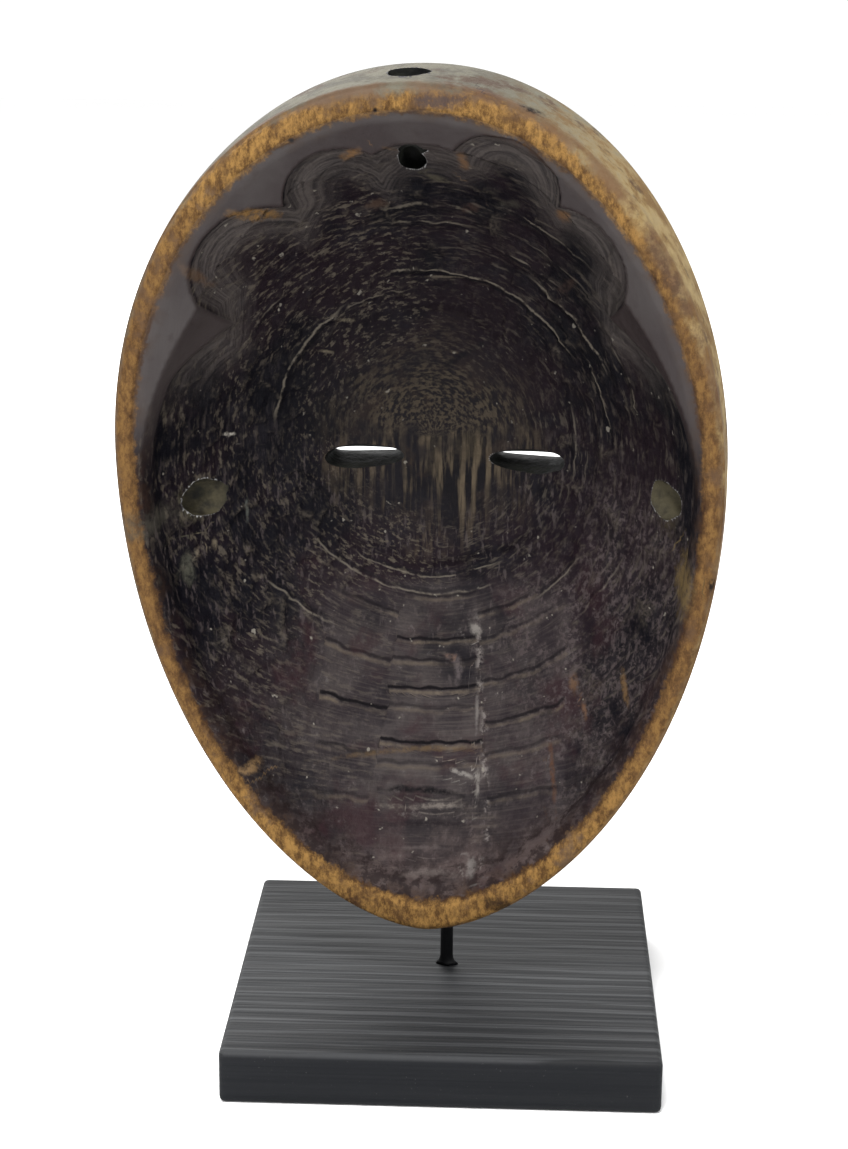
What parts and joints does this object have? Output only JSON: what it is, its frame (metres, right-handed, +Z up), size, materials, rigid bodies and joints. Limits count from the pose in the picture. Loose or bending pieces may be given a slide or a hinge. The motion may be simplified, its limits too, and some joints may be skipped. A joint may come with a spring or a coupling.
{
  "type": "carved african face mask on a rod stand",
  "caption": "Hollow oval wooden face mask with pierced eye slits, held upright by a thin rod in a square board.",
  "frame": {"origin": "middle of the board's underside", "axes": "+Z up; the mask's face looks towards -Y and its hollow towards +Y; +X to the wearer's left"},
  "size_m": [0.1793, 0.13, 0.2972],
  "materials": {
    "mask_wood": "dark stained and worn, with a bare tan rim and chalky white face",
    "rod_steel": "satin black paint",
    "base_board": "black-stained softwood, open grain, matt"
  },
  "bodies": {
    "root": {"mask": "mask_wood", "rod": "rod_steel", "base": "base_board"}
  },
  "joints": []
}
